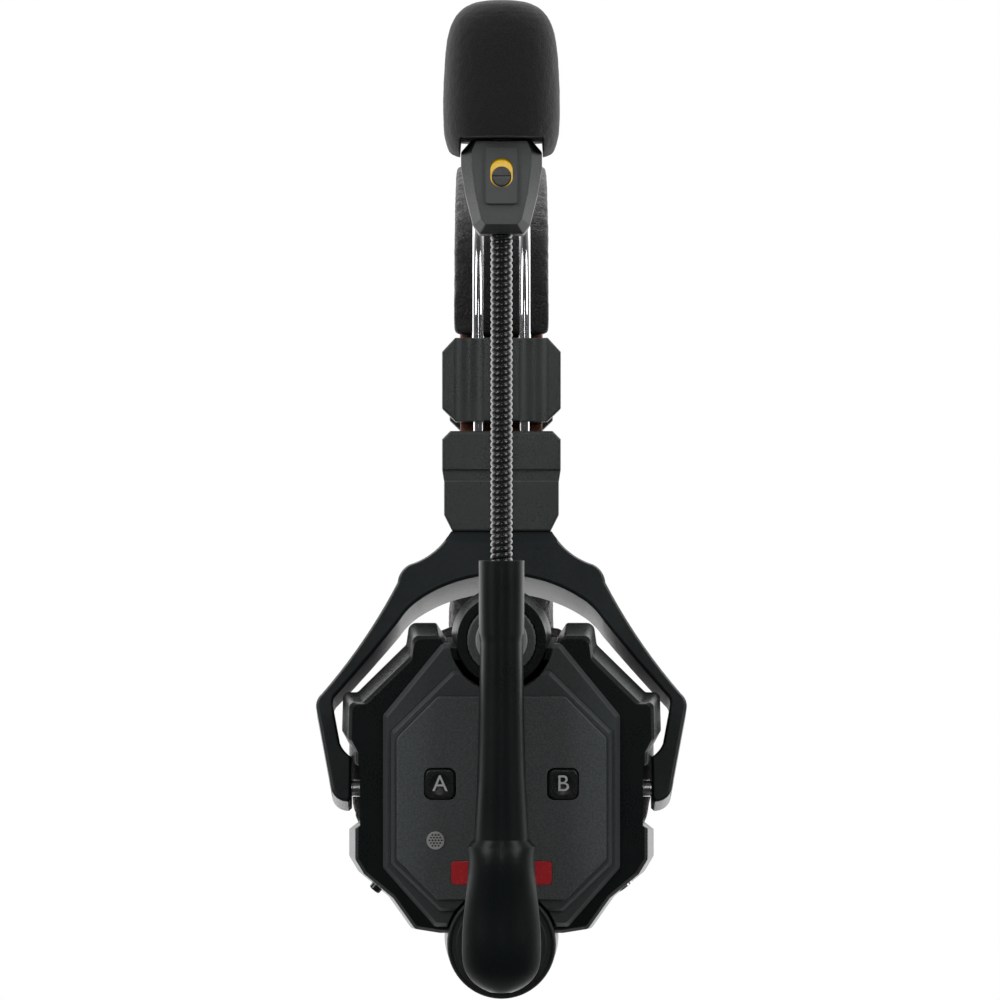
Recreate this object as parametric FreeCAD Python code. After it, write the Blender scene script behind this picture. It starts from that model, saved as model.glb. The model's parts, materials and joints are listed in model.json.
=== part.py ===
import FreeCAD, Part
import math
import os

# Wireless intercom headset with one ear cup, a temple pad and a boom microphone folded up.
# Millimetres, +Z up. The origin is where the headband lining rests on the crown of the head.
# X runs across the ear cup, Y from ear to ear: the cup is at -Y and the temple pad at +Y.

V = FreeCAD.Vector
X_AXIS = V(1, 0, 0)
Y_AXIS = V(0, 1, 0)
Z_AXIS = V(0, 0, 1)

# ---- driving dimensions ----
FACE_Y = -102.0          # outer face of the ear cup
PIN_DEPTH = 13.0         # yoke pin axis behind the outer face
PIN_Z = -126.5           # yoke pin axis below the crown
YOKE_LEAN = 23.0         # degrees that the yoke leans in towards the head
BLOCK_DEPTH = 35.0       # middle of the slider blocks behind the outer face
ARCH_START = 97.0        # height above the pins where the headband rods start to curve
SHOULDER_END = 30.0      # slope of the rods, in degrees, where shoulder arc meets crown arc

ROD_SPACING = 9.6        # between the two headband rods
TUBE_R = 1.3
ROD_R = 1.02
BORE_R = 1.05

PAD_WIDTH = 20.0
PAD_THICK = 5.6
LINING_WIDTH = 17.6
LINING_THICK = 1.6
ROD_TO_PAD = TUBE_R + 0.1
CROWN_ROD_Z = ROD_TO_PAD + PAD_THICK + LINING_THICK

CLAMP_LOW = 74.8         # slider block heights above the pins
CLAMP_HIGH = 92.1
HANGER_LOW = 52.0
HANGER_HIGH = 72.8
BLOCK_FRONT = 5.2
CLAMP_BACK = 6.9
HANGER_BACK = 5.6
LINING_LOW = HANGER_HIGH - 6.0

WALL = 1.8
FRONT_RIM = 3.2          # depth of the front shell's rim behind the face
SPLIT = 16.0             # depth where front and rear shells meet
BACK = 25.0              # depth of the rear shell's back edge
RIM_BEVEL = 0.8          # depth of the slope round the front shell's rim
FLARE = 1.055            # growth of the cup's outline from rim to split line
CUSHION_R = 31.8
CUSHION_UP = 1.7         # height of the cushion's centre
CUSHION_END = 40.0

CUP_UP = 0.9             # height of the cup's centre above the pins
DIAL_Z = 29.6            # heights above the cup's centre
PIVOT_Z = -31.3
BOOM_AXIS_DEPTH = -8.5
GOOSENECK_R = 2.2


# ---- helpers ----
def at(x, depth, z):
    """A point on the ear side, from depth behind the cup's face and height above the pins."""
    return V(x, FACE_Y + depth, PIN_Z + z)


def on_cup(x, depth, z):
    """A point of the ear cup, with its height measured from the cup's own centre."""
    return at(x, depth, z + CUP_UP)


def both(half):
    """A closed outline from its right half, listed from the top down."""
    return half + [(-x, z) for x, z in reversed(half)]


def both_radii(radii):
    return radii + radii[::-1]


def corner_wire(points, radii, place):
    """Closed wire through points, with each corner rounded by its radius."""
    count = len(points)
    edges = []
    starts = []
    ends = []
    for i in range(count):
        here = V(*points[i], 0)
        back = V(*points[i - 1], 0) - here
        ahead = V(*points[(i + 1) % count], 0) - here
        radius = radii[i] if isinstance(radii, list) else radii
        turn = back.getAngle(ahead)
        reach = radius / math.tan(turn / 2) if radius else 0.0
        back.normalize()
        ahead.normalize()
        starts.append(here + back * reach)
        ends.append(here + ahead * reach)
        if radius:
            middle = back + ahead
            middle.normalize()
            crown = here + middle * (radius / math.sin(turn / 2) - radius)
            edges.append(Part.Arc(place(starts[i]), place(crown), place(ends[i])).toShape())
    for i in range(count):
        a, b = ends[i - 1], starts[i]
        if (a - b).Length > 1e-6:
            edges.append(Part.LineSegment(place(a), place(b)).toShape())
    return Part.Wire(Part.__sortEdges__(edges))


def cup_wire(points, radii, depth, scale=1.0, lift=0.0):
    """Outline in the cup's plane at a depth, grown by scale about the cup's centre."""
    return corner_wire(points, radii, lambda p: on_cup(p.x * scale, depth, p.y * scale + lift))


def cup_prism(points, radii, depth, end, scale=1.0):
    face = Part.Face(cup_wire(points, radii, depth, scale))
    return face.extrude(Y_AXIS * (end - depth))


def cup_disc(x, z, radius, depth, end):
    return Part.makeCylinder(radius, end - depth, on_cup(x, depth, z), Y_AXIS)


def cup_cone(x, z, radius, end_radius, depth, end):
    return Part.makeCone(radius, end_radius, end - depth, on_cup(x, depth, z), Y_AXIS)


def cup_box(x, z, width, height, depth, end, radius=0.0):
    half = [(width / 2, height / 2), (width / 2, -height / 2)]
    points = [(x + px, z + pz) for px, pz in both(half)]
    return cup_prism(points, radius, depth, end)


def block(x, y, z, dx, dy, dz):
    """Box centred on x and starting at y and z."""
    return Part.makeBox(dx, dy, dz, V(x - dx / 2, y, z))


def soften(shape, size, test):
    """Round the edges whose middle passes the test."""
    edges = [e for e in shape.Edges if test(e.CenterOfMass, e)]
    return shape.makeFillet(size, edges)


def bevel(shape, size, test):
    """Chamfer the edges whose middle passes the test."""
    edges = [e for e in shape.Edges if test(e.CenterOfMass, e)]
    return shape.makeChamfer(size, edges)


def on_blocks(shape):
    """Place a shape drawn about the slider blocks' middle plane on the ear side."""
    placed = shape.copy()
    placed.translate(at(0, BLOCK_DEPTH, 0))
    return placed


def leaned(shape, angle=YOKE_LEAN, y=0.0, height=0.0):
    """Lean a shape about X, with its origin at a point of the leaning yoke's own frame."""
    placed = shape.copy()
    placed.rotate(V(0, 0, 0), X_AXIS, -angle)
    turn = FreeCAD.Rotation(X_AXIS, -YOKE_LEAN)
    placed.translate(at(0, PIN_DEPTH, 0) + turn.multVec(V(0, y, height)))
    return placed


def far_side(shape):
    """Mirror an ear-side shape to the temple-pad side."""
    return shape.mirror(V(0, 0, 0), Y_AXIS)


def group(shapes):
    return Part.makeCompound(shapes)


def both_rods(make):
    return [make(-ROD_SPACING / 2), make(ROD_SPACING / 2)]


def screw(radius, length, head_height):
    """Socket-head screw along -Y, with its head's outer face at the origin."""
    head = Part.makeCylinder(radius * 1.7, head_height, V(0, 0, 0), Y_AXIS)
    shank = Part.makeCylinder(radius, length, V(0, head_height, 0), Y_AXIS)
    socket = Part.makeCylinder(radius * 0.8, head_height * 0.6, V(0, 0, 0), Y_AXIS)
    return head.fuse(shank).cut(socket)


# ---- headband ----
def arch_radii():
    """Shoulder and crown radii that carry the rods from the blocks over the crown."""
    span = -(FACE_Y + BLOCK_DEPTH)
    rise = CROWN_ROD_Z - (PIN_Z + ARCH_START)
    sin_s, cos_s = math.sin(math.radians(SHOULDER_END)), math.cos(math.radians(SHOULDER_END))
    crown = (rise * (1 - sin_s) - span * cos_s) / ((1 - sin_s) * (1 - cos_s) - sin_s * cos_s)
    return (rise - crown * (1 - cos_s)) / cos_s, crown


SHOULDER_R, CROWN_R = arch_radii()


def arch_edges(x, offset, low):
    """Edges of the headband's line at an offset outside the rods, from block to block."""
    start = at(x, BLOCK_DEPTH - offset, ARCH_START)
    foot = at(x, BLOCK_DEPTH - offset, low)
    shoulder = at(x, BLOCK_DEPTH + SHOULDER_R, ARCH_START)
    crown = V(x, 0, CROWN_ROD_Z - CROWN_R)

    def on(centre, radius, slope):
        t = math.radians(slope)
        return centre + V(0, -math.sin(t), math.cos(t)) * (radius + offset)

    meet = on(shoulder, SHOULDER_R, SHOULDER_END)
    bend = on(shoulder, SHOULDER_R, (SHOULDER_END + 90) / 2)
    top = on(crown, CROWN_R, 0)
    far = [V(p.x, -p.y, p.z) for p in (foot, start, bend, meet)]
    return [
        Part.LineSegment(foot, start).toShape(),
        Part.Arc(start, bend, meet).toShape(),
        Part.Arc(meet, top, far[3]).toShape(),
        Part.Arc(far[3], far[2], far[1]).toShape(),
        Part.LineSegment(far[1], far[0]).toShape(),
    ]


def arch_band(outer, inner, width, low):
    """Band of the headband between two offsets, centred on X."""
    over = Part.Wire(arch_edges(-width / 2, outer, low))
    under = Part.Wire(arch_edges(-width / 2, inner, low))
    ends = []
    for i in (0, -1):
        a = over.OrderedVertexes[i].Point
        b = under.OrderedVertexes[i].Point
        ends.append(Part.LineSegment(a, b).toShape())
    wire = Part.Wire(Part.__sortEdges__(over.Edges + under.Edges + ends))
    return Part.Face(wire).extrude(X_AXIS * width)


def headband_rods():
    """Two bent rods whose straight ends are bored for the extension rods."""
    rods = []
    for x in (-ROD_SPACING / 2, ROD_SPACING / 2):
        path = Part.Wire(arch_edges(x, 0, CLAMP_LOW))
        foot = path.OrderedVertexes[0].Point
        ring = Part.Wire([Part.makeCircle(TUBE_R, foot, Z_AXIS)])
        rod = path.makePipeShell([ring], True, True)
        bore = on_blocks(Part.makeCylinder(BORE_R, ARCH_START - CLAMP_LOW, V(x, 0, CLAMP_LOW)))
        rods.append(rod.cut(bore).cut(far_side(bore)))
    return group(rods)


def headband_cushion():
    top = -ROD_TO_PAD
    return arch_band(top, top - PAD_THICK, PAD_WIDTH, CLAMP_HIGH)


def headband_lining():
    """Lining under the pad. Its ends hang down behind both slider blocks."""
    top = -ROD_TO_PAD - PAD_THICK
    return arch_band(top, top - LINING_THICK, LINING_WIDTH, LINING_LOW)


# ---- slider blocks ----
CLAMP_SCREWS = [(-8.6, 83.5), (8.6, 83.5)]
HANGER_SCREWS = [(-8.4, 60.4), (8.4, 60.4)]
TONGUE = (7.0, 5.0, 8.0)         # width, depth and height of the yoke's tongue


def upright_prism(points, radii, y0, y1):
    """Outline in x and height, extruded in depth, about the blocks' middle plane."""
    wire = corner_wire(points, radii, lambda p: V(p.x, y0, p.y))
    return Part.Face(wire).extrude(Y_AXIS * (y1 - y0))


def rod_holes(radius, low, high):
    return both_rods(lambda x: Part.makeCylinder(radius, high - low, V(x, 0, low)))


def clamp_outer():
    """Front half of the slider block, with two flutes beside a flat middle."""
    right = [(9.6, CLAMP_HIGH), (12.3, CLAMP_HIGH - 2.9), (12.3, CLAMP_LOW + 2.6), (9.6, CLAMP_LOW)]
    body = upright_prism(both(right), 0.4, -BLOCK_FRONT, 0)
    body = soften(body, 0.4, lambda c, e: c.y < -BLOCK_FRONT + 0.01)
    height = CLAMP_HIGH - CLAMP_LOW + 2
    for side in (-1, 1):
        flute_r = 5.2
        flute = Part.makeCylinder(flute_r, height, V(side * 6.7, -BLOCK_FRONT - 4.1, CLAMP_LOW - 1))
        body = body.cut(flute)
    for hole in rod_holes(TUBE_R, CLAMP_LOW, CLAMP_HIGH):
        body = body.cut(hole)
    for x, z in CLAMP_SCREWS:
        body = body.cut(Part.makeCylinder(0.8, 4.0, V(x, -3.0, z), Y_AXIS))
    return on_blocks(body)


def clamp_inner():
    """Rear half of the slider block. The pad's end stands on its top."""
    right = [(9.6, CLAMP_HIGH), (12.3, CLAMP_HIGH - 2.9), (12.3, CLAMP_LOW + 2.6), (9.6, CLAMP_LOW)]
    body = upright_prism(both(right), 0.4, 0, CLAMP_BACK)
    body = soften(body, 0.8, lambda c, e: c.y > CLAMP_BACK - 0.01)
    for hole in rod_holes(TUBE_R, CLAMP_LOW, CLAMP_HIGH):
        body = body.cut(hole)
    for x, z in CLAMP_SCREWS:
        body = body.cut(Part.makeCylinder(0.8, CLAMP_BACK, V(x, 0, z), Y_AXIS))
        body = body.cut(Part.makeCylinder(1.5, 2.0, V(x, CLAMP_BACK - 1.4, z), Y_AXIS))
    return on_blocks(body)


def block_screws(places, back, length):
    """Screws that enter from the head side and pull the two halves of a block together."""
    screws = []
    for x, z in places:
        one = screw(0.8, length, 1.2)
        one.rotate(V(0, 0, 0), Z_AXIS, 180)
        one.translate(V(x, back - 0.2, z))
        screws.append(on_blocks(one))
    return group(screws)


def clamp_screws():
    near = block_screws(CLAMP_SCREWS, CLAMP_BACK, CLAMP_BACK + 1.6)
    return group(near.Solids + far_side(near).Solids)


def hanger_half(y0, y1):
    """Half of the lower block, with a groove across it and a pocket for the yoke's tongue."""
    right = [(10.6, HANGER_HIGH), (12.3, HANGER_HIGH - 1.7), (12.3, 64.9), (11.9, 62.4),
             (11.9, HANGER_LOW + 3.4), (10.2, HANGER_LOW)]
    body = upright_prism(both(right), 0.3, y0, y1)
    face = y0 if y0 < 0 else y1
    outward = -1 if y0 < 0 else 1
    body = soften(body, 0.5, lambda c, e: abs(c.y - face) < 0.01)
    groove = Part.makeBox(30, 1.2, 2.4, V(-15, face - 0.6 + outward * 0.1, 62.4))
    width, depth, height = TONGUE
    pocket = block(0, -depth / 2, HANGER_LOW, width, depth, height)
    body = body.cut(groove).cut(pocket)
    for hole in rod_holes(ROD_R, HANGER_LOW + 4, HANGER_HIGH):
        body = body.cut(hole)
    return body


def hanger_outer():
    body = hanger_half(-BLOCK_FRONT, 0)
    for x, z in HANGER_SCREWS:
        body = body.cut(Part.makeCylinder(0.8, 4.0, V(x, -3.0, z), Y_AXIS))
    return on_blocks(body)


def hanger_inner():
    body = hanger_half(0, HANGER_BACK)
    for x, z in HANGER_SCREWS:
        body = body.cut(Part.makeCylinder(0.8, HANGER_BACK, V(x, 0, z), Y_AXIS))
        body = body.cut(Part.makeCylinder(1.5, 2.0, V(x, HANGER_BACK - 1.4, z), Y_AXIS))
    return on_blocks(body)


def extension_rods():
    """Thin rods fixed in the lower block that slide in the headband rods."""
    low, high = HANGER_LOW + 4, ARCH_START - 1
    rods = rod_holes(ROD_R, low, high)
    return group([on_blocks(rod) for rod in rods])


# ---- yoke ----
ARM_THICK = 6.4
YOKE_THICK = 11.0
PIN_R = 1.7


def yoke():
    """Wishbone with a thick neck and two arms that end in bosses on the pin axis."""
    neck_top = 64.0

    def p(x, z):
        return V(x, -YOKE_THICK, z)

    right = [
        Part.LineSegment(p(10.2, neck_top), p(10.2, 55.2)),
        Part.Arc(p(10.2, 55.2), p(13.4, 50.4), p(18.9, 47.1)),
        Part.Arc(p(18.9, 47.1), p(20.5, 45.7), p(21.4, 43.2)),
        Part.Arc(p(21.4, 43.2), p(28.8, 30.1), p(36.7, 19.3)),
        Part.Arc(p(36.7, 19.3), p(37.7, 17.7), p(37.7, 15.9)),
        Part.LineSegment(p(37.7, 15.9), p(34.5, -0.8)),
        Part.Arc(p(34.5, -0.8), p(33.2, -3.1), p(31.0, -3.8)),
        Part.LineSegment(p(31.0, -3.8), p(30.4, -3.2)),
        Part.LineSegment(p(30.4, -3.2), p(30.4, 5.7)),
        Part.Arc(p(30.4, 5.7), p(31.6, 6.7), p(32.8, 8.6)),
        Part.LineSegment(p(32.8, 8.6), p(34.4, 17.0)),
        Part.Arc(p(34.4, 17.0), p(34.3, 18.0), p(33.6, 19.1)),
        Part.Arc(p(33.6, 19.1), p(26.3, 28.0), p(21.0, 34.9)),
        Part.Arc(p(21.0, 34.9), p(19.5, 37.0), p(17.3, 39.1)),
        Part.Arc(p(17.3, 39.1), p(9.0, 43.4), p(0, 44.8)),
    ]
    edges = [curve.toShape() for curve in right]
    edges += [edge.mirror(V(0, 0, 0), X_AXIS) for edge in edges]
    edges.append(Part.LineSegment(p(-10.2, neck_top), p(10.2, neck_top)).toShape())
    front = Part.Face(Part.Wire(Part.__sortEdges__(edges))).extrude(Y_AXIS * (2 * YOKE_THICK))

    half_neck, half_arm = YOKE_THICK / 2, ARM_THICK / 2
    side = [V(-50, -half_neck, neck_top), V(-50, -half_neck, 50), V(-50, -half_arm, 15),
            V(-50, -half_arm, -5), V(-50, half_arm, -5), V(-50, half_arm, 13),
            V(-50, half_neck, 45), V(-50, half_neck, neck_top)]
    profile = Part.Face(Part.makePolygon(side + side[:1])).extrude(X_AXIS * 100)
    body = front.common(profile)
    body = bevel(body, 0.5, lambda c, e: c.z < neck_top - 1 and c.y < -half_arm + 0.02)
    body = leaned(body)
    above = block(0, -20, HANGER_LOW, 60, 40, 40)
    slope = block(0, -20, 0, 60, 20, 20)
    slope.rotate(V(0, 0, 0), X_AXIS, 45)
    slope.translate(V(0, -BLOCK_FRONT + 0.6, HANGER_LOW))
    body = body.cut(on_blocks(above)).cut(on_blocks(slope))
    width, depth, height = TONGUE
    body = body.fuse(on_blocks(block(0, -depth / 2, HANGER_LOW, width, depth, height)))
    hole = Part.makeCylinder(PIN_R, 100, at(-50, PIN_DEPTH, 0), X_AXIS)
    return body.removeSplitter().cut(hole)


def pivot_pins():
    """Two headed pins, pressed into the yoke's bosses, that end in the cup's bushes."""
    pins = []
    for side in (-1, 1):
        pin = Part.makeCylinder(PIN_R, 7.6, at(side * 33.6, PIN_DEPTH, 0), X_AXIS * -side)
        pins.append(pin)
    return group(pins)


def pivot_bushes():
    """Plastic bushes in the cup's sides that the pins turn in."""
    bushes = []
    for side in (-1, 1):
        start = at(side * 28.4, PIN_DEPTH, 0)
        bush = Part.makeCylinder(PIN_R + 1.2, 3.4, start, X_AXIS * -side)
        bushes.append(bush.cut(Part.makeCylinder(PIN_R + 0.03, 3.4, start, X_AXIS * -side)))
    return group(bushes)


# ---- ear cup ----
CUP_OUTLINE = [(10.8, 27.6), (12.6, 30.4), (17.8, 30.4), (18.4, 26.2), (27.8, 17.0), (30.6, 17.0), (30.8, 9.6),
               (29.4, 7.0), (29.4, -14.6), (27.6, -17.6), (21.8, -22.4), (17.4, -28.6), (12.4, -29.4)]
CUP_RADII = [0.4, 0.7, 1.6, 1.0, 1.0, 1.2, 0.8, 0.6, 1.2, 1.2, 1.6, 1.2, 0.4]
OUTER_TIER = [(12.0, 28.8), (23.8, 14.4), (23.8, -16.2), (13.4, -28.0)]
INNER_TIER = [(9.8, 23.4), (22.2, 11.2), (22.2, -15.2), (12.4, -24.8)]
TIER_CORNER = 1.2
PANEL = [(12.8, 18.3), (21.0, 10.0), (21.0, -14.2), (12.8, -22.4)]
BUTTON_X = 12.3
BUTTON_Z = 0.8
BUTTON = 6.4
CALL_Z = 3.2
CALL_R = 4.4
MESH_X = -13.2
MESH_Z = -10.5
MESH_R = 1.8
LABEL_Z = -17.0
LABEL_WIDTH = 20.2
LABEL_HEIGHT = 4.8
DIAL_R = 6.9
DIAL_SHAFT_R = 2.3
SHAFT_R = 3.5
CASE_SCREWS = [(-24.4, 13.4), (24.4, 13.4), (-25.2, -10.8), (25.2, -10.8)]
POST_R = 2.2
SCREW_R = 0.8
FLANK_X = 24.7           # middle of the lower flank, and the slope of its outward normal
FLANK_Z = -20.0
FLANK_SLOPE = 50.4
DRIVER_R = 20.5
GRILLE_R = 17.4


def cup_loft(depth, end, scale, end_scale, lift=0.0, end_lift=0.0):
    wires = []
    for d, s, up in ((depth, scale, lift), (end, end_scale, end_lift)):
        wires.append(cup_wire(both(CUP_OUTLINE), both_radii(CUP_RADII), d, s, up))
    return Part.makeLoft(wires, True, True)


def boss_bodies():
    """Round bosses that carry the dial at the top and the boom pivot at the bottom."""
    dial = cup_cone(0, DIAL_Z, 8.9, 10.2, 0.6, SPLIT)
    pivot = cup_cone(0, PIVOT_Z, 10.9, 11.6, 0.6, SPLIT)
    return dial, pivot


def cup_front_shell():
    """Front casing: flared octagonal walls, a window for the bezel, and the two bosses."""
    rim_end = FRONT_RIM + RIM_BEVEL
    body = cup_loft(rim_end, SPLIT, 1.0, FLARE, 0.0, 0.5)
    body = body.fuse(cup_loft(FRONT_RIM, rim_end, 0.976, 1.0))
    body = body.cut(cup_loft(FRONT_RIM + WALL, SPLIT, 0.93, FLARE - 0.06, -0.3, 0.2))
    body = body.cut(cup_prism(both(OUTER_TIER), TIER_CORNER, 0, FRONT_RIM + WALL))
    for boss in boss_bodies():
        body = body.fuse(boss)
    for x, z in CASE_SCREWS:
        body = body.fuse(cup_disc(x, z, POST_R, FRONT_RIM + WALL, SPLIT))
        body = body.cut(cup_disc(x, z, SCREW_R, SPLIT - 8, SPLIT))
    body = body.cut(cup_disc(0, DIAL_Z, DIAL_R + 0.15, 0, 3.0))
    body = body.cut(cup_disc(0, DIAL_Z, DIAL_SHAFT_R + 0.06, 0, SPLIT))
    body = body.cut(cup_disc(0, DIAL_Z, 6.0, 4.4, SPLIT))
    body = body.cut(cup_disc(0, PIVOT_Z, SHAFT_R + 0.05, 0, SPLIT))
    body = body.cut(cup_disc(0, PIVOT_Z, 8.0, 5.0, SPLIT))
    body = body.cut(on_flank(power_hole(), -1)).cut(on_flank(usb_outline(0.0), 1))
    return body.cut(side_notches()).removeSplitter()


def side_notches():
    """Room in the cup's sides for the yoke's bosses, and the holes for the bushes."""
    notches = []
    for side in (-1, 1):
        points = [(side * 28.4, 4.0), (side * 34, 7.7), (side * 34, -11.3), (side * 28.4, -7.8)]
        notches.append(cup_prism(points, 0, 0, BACK + 1))
        start = at(side * 28.4, PIN_DEPTH, 0)
        notches.append(Part.makeCylinder(PIN_R + 1.2, 3.4, start, X_AXIS * -side))
    return group(notches)


def cup_rear_shell():
    """Rear casing that narrows towards the head and holds the baffle plate."""
    body = cup_loft(SPLIT, BACK, FLARE, 0.95, 0.5, 0.5)
    for x, z, radius in ((0, DIAL_Z, 10.2), (0, PIVOT_Z, 11.6)):
        body = body.fuse(cup_cone(x, z, radius, radius - 2.2, SPLIT, BACK - 2))
    body = body.cut(cup_loft(SPLIT, BACK - 2, FLARE - 0.07, 0.87, 0.2, 0.3))
    for x, z in CASE_SCREWS:
        body = body.fuse(cup_disc(x, z, POST_R, SPLIT, BACK - 1))
        body = body.cut(cup_disc(x, z, SCREW_R, SPLIT, BACK))
        body = body.cut(cup_disc(x, z, SCREW_R * 1.8, BACK - 1.2, BACK + 1))
    body = body.cut(cup_disc(0, CUSHION_UP, DRIVER_R + 1.5, SPLIT, BACK + 1))
    return body.cut(side_notches()).removeSplitter()


def on_flank(shape, side, depth=10.5):
    """Place a shape drawn along +X onto a lower flank of the cup, pointing outward."""
    placed = shape.copy()
    angle = FLANK_SLOPE if side > 0 else 180 - FLANK_SLOPE
    placed.rotate(V(0, 0, 0), Y_AXIS, angle)
    placed.translate(on_cup(side * FLANK_X, depth, FLANK_Z))
    return placed


def power_hole():
    return Part.makeCylinder(1.35, 8, V(-5, 0, 0), X_AXIS)


def usb_outline(inset):
    """Stadium-shaped block along X, as wide as a USB-C port less an inset."""
    half_height = 1.6 - inset
    straight = 2.9
    x0 = -5.6
    length = 9.0
    core = Part.makeBox(length, 2 * straight, 2 * half_height, V(x0, -straight, -half_height))
    for side in (-1, 1):
        core = core.fuse(Part.makeCylinder(half_height, length, V(x0, side * straight, 0), X_AXIS))
    return core.removeSplitter()


def usb_port():
    """Metal sleeve of the charging port, with its mouth at the flank."""
    mouth = Part.makeBox(12, 12, 12, V(0.6, -6, -6))
    sleeve = usb_outline(0.0).cut(usb_outline(0.35)).cut(mouth)
    tongue = Part.makeBox(4.4, 5.0, 0.7, V(-5.6, -2.5, -0.35))
    back = usb_outline(0.35).cut(Part.makeBox(20, 12, 12, V(-4.8, -6, -6)))
    return on_flank(sleeve.fuse(tongue).fuse(back).removeSplitter(), 1)


def power_button():
    """Round push button on the lower flank, with a collar inside the case."""
    stem = Part.makeCylinder(1.25, 6.4, V(-4.6, 0, 0), X_AXIS)
    stem = soften(stem, 0.3, lambda c, e: c.x > 1.7)
    collar = Part.makeCylinder(1.9, 0.8, V(-4.6, 0, 0), X_AXIS)
    return on_flank(stem.fuse(collar).removeSplitter(), -1)


def tier(half, depth, end, inner, inner_end, edge):
    """Bezel tier with a chamfered outer rim and a pocket for what sits inside it."""
    body = cup_prism(both(half), TIER_CORNER, depth, end)
    front = [e for e in body.Edges if e.CenterOfMass.y < FACE_Y + depth + 0.01]
    body = body.makeChamfer(edge, front)
    return body.cut(cup_prism(both(inner), TIER_CORNER, depth - 1, inner_end))


def cup_bezel_outer():
    """Outer tier, with a floor that is open behind the buttons."""
    body = tier(OUTER_TIER, 1.9, FRONT_RIM + WALL, INNER_TIER, 3.6, 0.9)
    body = body.cut(cup_disc(0, DIAL_Z, 10.4, 0, 9)).cut(cup_disc(0, PIVOT_Z, 11.4, 0, 9))
    for x in (-BUTTON_X, BUTTON_X):
        body = body.cut(cup_box(x, BUTTON_Z, BUTTON + 1.8, BUTTON + 1.8, 0, 9, 1.2))
    return body.cut(cup_disc(0, CALL_Z, CALL_R + 1.3, 0, 9)).removeSplitter()


def cup_bezel_inner():
    """Inner tier, with a floor that the face panel is glued to."""
    body = tier(INNER_TIER, 0.7, 3.6, PANEL, 1.6, 0.7)
    body = body.cut(cup_disc(0, DIAL_Z, 10.5, 0, 9)).cut(cup_disc(0, PIVOT_Z, 11.4, 0, 9))
    return body.cut(panel_holes(4.0)).removeSplitter()


def panel_holes(end):
    """Openings in the face for the buttons and the ambient microphone."""
    holes = [cup_box(x, BUTTON_Z, BUTTON, BUTTON, -1, end, 1.5) for x in (-BUTTON_X, BUTTON_X)]
    holes.append(cup_disc(0, CALL_Z, CALL_R + 0.3, -1, end))
    holes.append(cup_disc(MESH_X, MESH_Z, MESH_R, -1, end))
    return group(holes)


def face_panel():
    body = cup_prism(both(PANEL), TIER_CORNER, 0, 1.6)
    body = soften(body, 0.3, lambda c, e: c.y < FACE_Y + 0.01)
    body = body.cut(cup_disc(0, PIVOT_Z, 11.4, -1, 9)).cut(panel_holes(4.0))
    return body.cut(cup_box(0, LABEL_Z, LABEL_WIDTH, LABEL_HEIGHT, -1, 0.5, 0.8))


def label_plate():
    plate = cup_box(0, LABEL_Z, LABEL_WIDTH - 0.1, LABEL_HEIGHT - 0.1, -0.1, 0.5, 0.8)
    return plate.cut(cup_disc(0, PIVOT_Z, 11.5, -1, 9))


def face_button(x):
    """Push button with a dished front, a stem and a flange that keeps it in the case."""
    size = BUTTON - 0.5
    body = cup_box(x, BUTTON_Z, size, size, -0.4, 4.0, 1.3)
    body = soften(body, 0.35, lambda c, e: c.y < FACE_Y - 0.39)
    dish = Part.makeSphere(9.0, on_cup(x, -9.15, BUTTON_Z))
    flange = cup_box(x, BUTTON_Z, BUTTON + 1.2, BUTTON + 1.2, 3.9, 4.5, 1.0)
    stem = cup_disc(x, BUTTON_Z, 1.2, 4.4, 5.6)
    return body.cut(dish).fuse(flange).fuse(stem).removeSplitter()


def call_button():
    body = cup_disc(0, CALL_Z, CALL_R, -0.4, 4.0)
    body = soften(body, 0.4, lambda c, e: c.y < FACE_Y - 0.39)
    flange = cup_disc(0, CALL_Z, CALL_R + 0.9, 3.9, 4.5)
    stem = cup_disc(0, CALL_Z, 1.2, 4.4, 5.6)
    return body.fuse(flange).fuse(stem).removeSplitter()


def board_parts():
    """Snap domes under the face buttons, dial encoder, power switch and ambient capsule."""
    places = [(-BUTTON_X, BUTTON_Z), (BUTTON_X, BUTTON_Z), (0, CALL_Z)]
    solids = [cup_cone(x, z, 1.6, 2.4, 6.6, 7.6) for x, z in places]
    solids.append(cup_box(0, DIAL_Z, 7.6, 7.6, 7.0, 10.4, 0.6))
    solids.append(on_flank(Part.makeBox(2.0, 4.4, 4.0, V(-8.0, -2.2, -2.0)), -1))
    solids.append(cup_disc(MESH_X, MESH_Z, 1.7, 0.8, 3.4))
    return group(solids)


def ambient_mesh():
    """Round metal mesh plug in the face panel, with a grid of small holes."""
    body = cup_disc(MESH_X, MESH_Z, MESH_R, -0.15, 0.7)
    pitch = 0.62
    for i in range(-2, 3):
        for j in range(-2, 3):
            dx = pitch * (i + 0.5 * (j % 2))
            dz = pitch * 0.87 * j
            if math.hypot(dx, dz) < MESH_R - 0.45:
                body = body.cut(cup_disc(MESH_X + dx, MESH_Z + dz, 0.2, -1, 1))
    return body


def volume_dial():
    """Dial in the upper boss: a knurled ring on a shaft."""
    body = cup_disc(0, DIAL_Z, DIAL_R, -0.6, 2.8)
    body = soften(body, 0.5, lambda c, e: c.y < FACE_Y - 0.59)
    body = body.cut(cup_disc(0, DIAL_Z, 5.2, -1, 0.4))
    knurls = 36
    for i in range(knurls):
        angle = 2 * math.pi * i / knurls
        x, z = DIAL_R * math.sin(angle), DIAL_R * math.cos(angle)
        body = body.cut(cup_disc(x, DIAL_Z + z, 0.18, -1, 3))
    return body.fuse(cup_disc(0, DIAL_Z, DIAL_SHAFT_R, 2.7, 6.8)).removeSplitter()


def volume_dial_cap():
    body = cup_disc(0, DIAL_Z, 5.2, -0.9, 0.4)
    return soften(body, 0.3, lambda c, e: c.y < FACE_Y - 0.89)


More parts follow.
